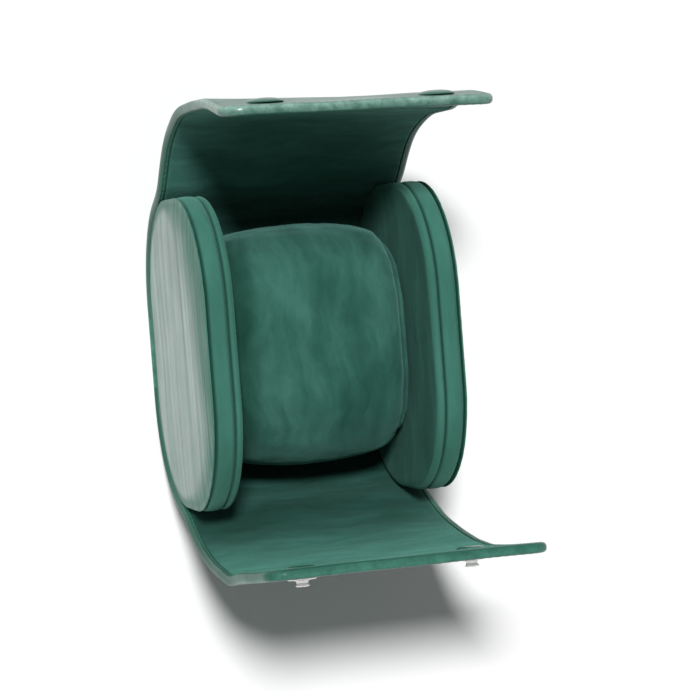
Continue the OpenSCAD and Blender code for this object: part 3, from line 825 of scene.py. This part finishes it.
for side, which in ENDS:
    seed = 5.0 * side

    def pucker(y, z, inset):
        """Soft gathers along the seam, and a lazy unevenness over the padded face."""
        fade = exp(-max(inset, 0) / 3.0)
        gather = lumps(y / 2.6 + seed, z / 2.6, seed) * 0.10 * fade
        lazy = lumps(y / 30.0, z / 22.0 + seed, 1.5) * 0.35
        return gather + lazy * min(1.0, inset / 8.0)

    def inner_swell(y, z, inset):
        """The inner face dishes a little towards the pillow where the foam gives."""
        gather = lumps(y / 3.0, z / 3.0 + seed, seed) * 0.08
        return (gather * exp(-max(inset, 0) / 3.0)
                - 0.25 * min(1.0, max(0.0, inset - 2) / 10.0))

    piece = panel_skin(f"{which}_panel_leather_padded", side, OUTER, pucker,
                       (1.1,))
    piece.data.materials.append(face_leather)
    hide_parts(f"{which}_panel_leather")

    piece = panel_skin(f"{which}_panel_rim_padded", side, RIM, lambda y, z, inset: 0.0,
                       (2.2, 7.5), hoop=True)
    piece.data.materials.append(rim_suede)
    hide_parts(f"{which}_panel_rim")

    piece = panel_skin(f"{which}_panel_lining_padded", side, INNER, inner_swell,
                       (9.2,))
    piece.data.materials.append(panel_suede_shaded)
    piece.data.materials.append(rim_suede)
    # The strip near the outer face keeps the lighter rim suede; the inner face beyond it is painted
    # shade.
    for face in piece.data.polygons:
        face.material_index = int(HALF - abs(face.center.x) * 1000 < LINING_FROM)
    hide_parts(f"{which}_panel_lining")

# ---- Pillow ----
# A block of soft foam in a velvet sleeve, closed by a sewn piece at each end. The foam
# pushes the velvet out between the seams; it is drawn in where the end pieces join.
PILLOW_H, PILLOW_D, PILLOW_R, PILLOW_HALF, PILLOW_Z = 84.0, 71.0, 30.0, 31.5, 3.0
PILLOW_MID = PILLOW_Z + PILLOW_D / 2
PILLOW_CROWN = [(0, 0), (0.2, 0.05), (0.52, 0.75), (0.8, 2.3), (0.93, 4.2), (0.985, 6.6), (1, 10)]
PILLOW_SEAM = 29.3
AROUND = 200                  # points round the cover
MOST_SWELL = 0.0026           # how far the foam can push the cover, in metres
BLOW_STEPS = 20


def pillow_loop(share):
    """Rounded block round the foam, at a share of its half length."""
    inset = float(np.interp(abs(share), *zip(*PILLOW_CROWN))) + 1.6
    hy, hz = PILLOW_H / 2 - inset, PILLOW_D / 2 - inset
    r = max(PILLOW_R - inset * 0.8, 4)
    points = []
    for quarter, (sy, sz) in enumerate(QUARTERS):
        for i in range(9):
            a = pi / 2 * (quarter + i / 8)
            points.append((share * (PILLOW_HALF - 1.2), sy * (hy - r) + r * cos(a),
                           max(sz * (hz - r) + r * sin(a), 0.5 - PILLOW_D / 2)
                           + PILLOW_D / 2 + PILLOW_Z))
    return points


def blow_up(body):
    """The block's mesh pressed out by its foam, held at the seams and underneath."""
    remesh = body.modifiers.new("Remesh", "REMESH")
    remesh.mode, remesh.voxel_size = "VOXEL", 0.0045
    mesh = worked_mesh(body)
    body.modifiers.clear()
    body.data = mesh
    rest = np.array([v.co[:] for v in mesh.vertices])
    held = [i for i, v in enumerate(rest)
            if abs(abs(v[0]) * 1000 - PILLOW_SEAM) < 2.4 or v[2] < 0.0065]
    body.vertex_groups.new(name="held").add(held, 1.0, "REPLACE")
    cloth = body.modifiers.new("Cloth", "CLOTH")
    cloth.settings.use_pressure, cloth.settings.uniform_pressure_force = True, 4.0
    cloth.settings.effector_weights.gravity = 0.0
    cloth.settings.tension_stiffness = cloth.settings.compression_stiffness = 8.0
    cloth.settings.vertex_group_mass = "held"
    cloth.settings.pin_stiffness = 1.0
    cloth.point_cache.frame_start, cloth.point_cache.frame_end = 1, BLOW_STEPS
    for step in range(1, BLOW_STEPS + 1):
        bpy.context.scene.frame_set(step)
    blown = worked_mesh(body)
    body.modifiers.clear()
    bpy.context.scene.frame_set(1)
    moved = np.array([v.co[:] for v in blown.vertices]) - rest
    size = np.linalg.norm(moved, axis=1)
    moved *= np.where(size > MOST_SWELL, MOST_SWELL / np.maximum(size, 1e-9), 1)[:, None]
    blown.vertices.foreach_set("co", (rest + moved).astype(np.float32).ravel())
    body.data = blown


def stuffed(swell):
    """The foam block blown out against its cover, to find how far out the cover lies."""
    shares = [-1, -0.97, -0.9, -0.75, -0.55, -0.3, 0, 0.3, 0.55, 0.75, 0.9, 0.97, 1]
    loops = [pillow_loop(share) for share in shares]
    body = mesh_piece("pillow_stuffing", [point for loop in loops for point in loop],
                      tube(len(loops), len(loops[0])))
    if swell:
        blow_up(body)
    work = bmesh.new()
    work.from_mesh(body.data)
    bmesh.ops.smooth_vert(work, verts=work.verts, factor=0.5,
                          use_axis_x=True, use_axis_y=True, use_axis_z=True)
    hull = BVHTree.FromBMesh(work)
    work.free()
    bpy.data.objects.remove(body)
    return hull


def pillow_skin(name, stations, hull):
    """A cover piece through rings of (place across, tuck) on the stuffing, closed at both ends."""
    verts, uvs, left_end_shade = [], [], []
    for x, tuck in stations:
        reference = min(abs(x), PILLOW_HALF - 2.6) * (1 if x >= 0 else -1)
        middle = Vector((reference, 0, PILLOW_MID)) * 0.001
        for k in range(AROUND):
            a = 2 * pi * k / AROUND
            hit = hull.ray_cast(middle, Vector((0, cos(a), sin(a))))[0]
            r = (hit - middle).length * 1000 if hit else 30
            wrinkle = lumps(x / 9.0, a * 7.0, 4.0) * 0.35 + lumps(x / 2.2, a * 26.0, 9.0) * 0.10
            gather = lumps(a * 34.0, 3.0, 1.0) * 0.30 * exp(-abs(abs(x) - PILLOW_SEAM) / 2.2)
            r = r + wrinkle + gather - tuck
            verts.append((x, r * cos(a), max(PILLOW_MID + r * sin(a), PILLOW_Z + 0.45)))
            uvs.append((k / AROUND * 2.6, x / 100))
            left_end_shade.append(0.8 * ease(-x, 18, 26))      # painted shade at the left end, where the panel shades the velvet
    last = len(stations) - 1
    faces = rings(len(stations), AROUND)
    for end in (0, last):
        faces += fan(end * AROUND, AROUND, len(verts))
        verts.append((stations[end][0], 0, PILLOW_MID))
        uvs.append((0, 0))
        left_end_shade.append(0.0)
    piece = mesh_piece(name, verts, faces, uvs)
    paint(piece, "seam", left_end_shade)
    piece.data.materials.append(velvet)
    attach(piece, "pillow")
    return piece


velvet = napped_material(
    "Velvet", ((0.016, 0.078, 0.058), (0.031, 0.120, 0.091), (0.054, 0.175, 0.138)),
    7.0, 0.25, tint=(0.4, 0.9, 0.8), depth=0.0005)
hull = stuffed(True)
hem = [(PILLOW_SEAM - x, tuck)
       for x, tuck in ((0.12, 1.9), (0.14, 1.1), (0.3, 0.5), (0.65, 0.16), (1.2, 0.02))]
stations = [(-x, tuck) for x, tuck in hem] + [(x, 0) for x in np.linspace(-27.2, 27.2, 70)]
sleeve = pillow_skin("pillow_sleeve_velvet", stations + hem[::-1], hull)
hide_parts("pillow_sleeve", "pillow_foam")
stations = [(PILLOW_SEAM + x, tuck)
            for x, tuck in ((0.12, 1.9), (0.14, 1.1), (0.3, 0.55), (0.6, 0.35), (1.0, 0.55),
                            (1.5, 1.2), (1.9, 2.6))]
stations += [(PILLOW_HALF - 0.06, 5.0), (PILLOW_HALF, 8.0), (PILLOW_HALF + 0.02, 14.0)]
for side, which in ENDS:
    end = pillow_skin(f"pillow_{which}_end_velvet", [(x * side, t) for x, t in stations], hull)
    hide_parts(f"pillow_{which}_end")

# ---- Snap fasteners ----
# Pressed and plated parts: sockets with a spring in the top flap and domed caps outside
# it, studs outside the bottom flap and flat rivets inside it. Each pair is turned round.
snap_metal, tree, shader, swirl = raised_finish(
    "Plated steel", "ShaderNodeTexNoise", "Fac", {"Scale": 900.0, "Detail": 4.0},
    [(0.3, (0.60, 0.59, 0.57)), (0.7, (0.76, 0.75, 0.73))], 0.15, 0.0001)
tree.links.new(remap(tree, swirl, 0.3, 0.7, 0.26, 0.4), shader["Roughness"])
shader["Metallic"].default_value = 1.0
enamel = leather_material("Cap lacquer", (0.022, 0.105, 0.072), (0.034, 0.150, 0.106),
                          (0.13, 0.33, 0.26), 0.34, coat=0.4)
TURN_STEPS = 48


def turned(node, flap_name, finish, *profiles):
    """A pair of snap parts turned from profiles of (radius, height above the lined face)."""
    verts, faces = [], []
    for x in (-SNAP_X, SNAP_X):
        sunk = snap_shift(flap_name, x)
        for profile in profiles:
            first = len(verts)
            for radius, height in profile:
                verts += snap_ring(flap_name, x, radius, height - sunk, TURN_STEPS)
            last = len(verts) - TURN_STEPS
            faces += rings(len(profile), TURN_STEPS, first)
            if profile[0][0] == profile[-1][0]:       # a spring ring, which meets itself
                faces += band(last, first, TURN_STEPS)
            else:
                faces += [cap(first, TURN_STEPS), cap(last, TURN_STEPS)[::-1]]
    piece = mesh_piece(node + "_turned", verts, faces)
    piece.modifiers.new("Edges", "EDGE_SPLIT").split_angle = radians(40)
    piece.data.materials.append(finish)
    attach(piece, flap_name + "_front")
    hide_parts(node)


turned("snap_sockets", "top", snap_metal,
       [(4.5, -2.0), (4.5, 0.08), (4.42, 0.2), (4.2, 0.28), (3.95, 0.32), (3.75, 0.4), (3.6, 0.47),
        (3.35, 0.5), (3.0, 0.48), (2.8, 0.38), (2.72, 0.2), (2.72, -1.7), (0.4, -1.72)],
       [(2.72, -0.35), (2.5, -0.28), (2.36, -0.36), (2.5, -0.5), (2.72, -0.5)])
turned("snap_caps", "top", enamel,
       [(5.8 * sin(t), -3.2 - 1.3 * cos(t))
        for t in np.linspace(0.02, pi / 2 - 0.12, 10)] + [(5.8, -3.25), (5.72, -3.1)])
turned("snap_studs", "bottom", snap_metal,
       [(4.45, -3.1), (4.5, -3.3), (4.4, -3.5), (4.1, -3.6), (3.2, -3.62), (2.6, -3.72),
        (2.0, -3.86), (1.82, -4.1), (1.8, -4.8), (1.95, -5.0), (2.15, -5.15), (2.2, -5.3),
        (2.1, -5.5), (1.85, -5.64), (1.4, -5.7), (0.02, -5.7)])
turned("snap_rivets", "bottom", enamel,
       [(4.3, 0.0), (4.25, 0.22), (4.05, 0.4), (3.6, 0.56), (3.0, 0.68), (2.0, 0.74), (0.9, 0.74),
        (0.7, 0.6), (0.02, 0.55)])

# ---- Boards and foam inside the skins ----
# Grey fibre board stiffens the sheet and the panels; open foam fills the panels. Boards
# in the flaps take the sheet's gentle warp, the rest stay as drawn and get their finish.
board_finish = raised_finish("Fibre board", "ShaderNodeTexNoise", "Fac",
                             {"Scale": 700.0, "Detail": 6.0, "Roughness": 0.7},
                             [(0.3, (0.24, 0.22, 0.19)), (0.7, (0.38, 0.36, 0.31))],
                             0.3, 0.0002, 0.9)[0]
foam_finish = raised_finish("Open foam", "ShaderNodeTexVoronoi", "Distance", {"Scale": 1400.0},
                            [(0.0, (0.45, 0.43, 0.36)), (0.6, (0.78, 0.76, 0.68))],
                            0.5, 0.0004, 0.95)[0]
BOARD_RING = [(3.2, 1.72), (3.0, 1.7), (2.92, 1.6), (2.92, 1.0), (3.0, 0.9), (3.2, 0.88)]
BOARD_GAP = 0.3               # between a board's end and its crease
for flap_name, line in LINES.items():
    first, second, third = line.creases
    for part, start, end in (("side", first + BOARD_GAP, second - BOARD_GAP),
                             ("front", third + BOARD_GAP, line.length)):
        node = f"{flap_name}_{part}_board"
        piece = sheet_skin(node + "_set", flap_name, start, end, BOARD_RING)
        piece.data.materials.append(board_finish)
        if node == "top_front_board":
            punch(piece)
        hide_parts(node)
        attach(piece, f"{flap_name}_{part}")
for name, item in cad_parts.items():
    finish = {"board": board_finish, "foam": foam_finish}.get(name.split("_")[-1], green_leather)
    if not item.hide_render:
        for held in item.material_slots:
            held.material = finish

# ---- Table, light and camera ----
# A plain pale table, one broad lamp up on the left that leaves the soft shadow below the
# open flap, a pale room, and the camera high over the case, a little to its left.
bpy.ops.mesh.primitive_plane_add(size=8, location=(0, 0, -0.00002))
table = bpy.context.object
table.name = "table"
cover, tree, shader = new_material("Pale table")
tree.links.new(ramp(tree, cloud(tree, on_object(tree), 3.0, 2.0),
                    [(0.0, (0.97, 0.975, 0.965)), (1.0, (1.0, 1.0, 0.995))]), shader["Base Color"])
shader["Roughness"].default_value = 1.0
shader["Specular IOR Level"].default_value = 0.0
table.data.materials.append(cover)

world = bpy.data.worlds.new("room")
bpy.context.scene.world = world
world.use_nodes = True
tree = world.node_tree
ray = tree.nodes.new("ShaderNodeLightPath").outputs
seen = maths(tree, "MAXIMUM", maths(tree, "MAXIMUM", ray["Is Camera Ray"], ray["Is Glossy Ray"]),
             ray["Is Transmission Ray"])
backdrop = tree.nodes["Background"].inputs
backdrop["Color"].default_value = (0.965, 0.985, 1.0, 1)
tree.links.new(remap(tree, seen, 0.0, 1.0, 0.15, 1.0), backdrop["Strength"])

lamp = bpy.data.lights.new("window", "SUN")
lamp.energy, lamp.angle = 3.0, radians(8)
aim = Vector((-0.21, 0.31, 1.0)).to_track_quat("Z", "Y")
placed("window", lamp).rotation_euler = aim.to_euler()

SENSOR, PICTURE, FOCAL = 36.0, 700.0, 2700.0      # millimetres, then pixels
camera_data = bpy.data.cameras.new("view")
camera_data.sensor_fit, camera_data.sensor_width = "HORIZONTAL", SENSOR
camera_data.lens = FOCAL / PICTURE * SENSOR
camera_data.clip_start, camera_data.clip_end = 0.05, 20.0
camera = placed("view", camera_data)
camera.matrix_world = Matrix(((0.96236679, 0.08284235, -0.25881905, -0.2189324),
                              (-0.07657658, 0.99647645, 0.03421577, 0.0277932),
                              (0.2607416, -0.01310864, 0.96531963, 0.9233688),
                              (0, 0, 0, 1)))
bpy.context.scene.camera = camera
bpy.context.scene.view_settings.view_transform = "Standard"
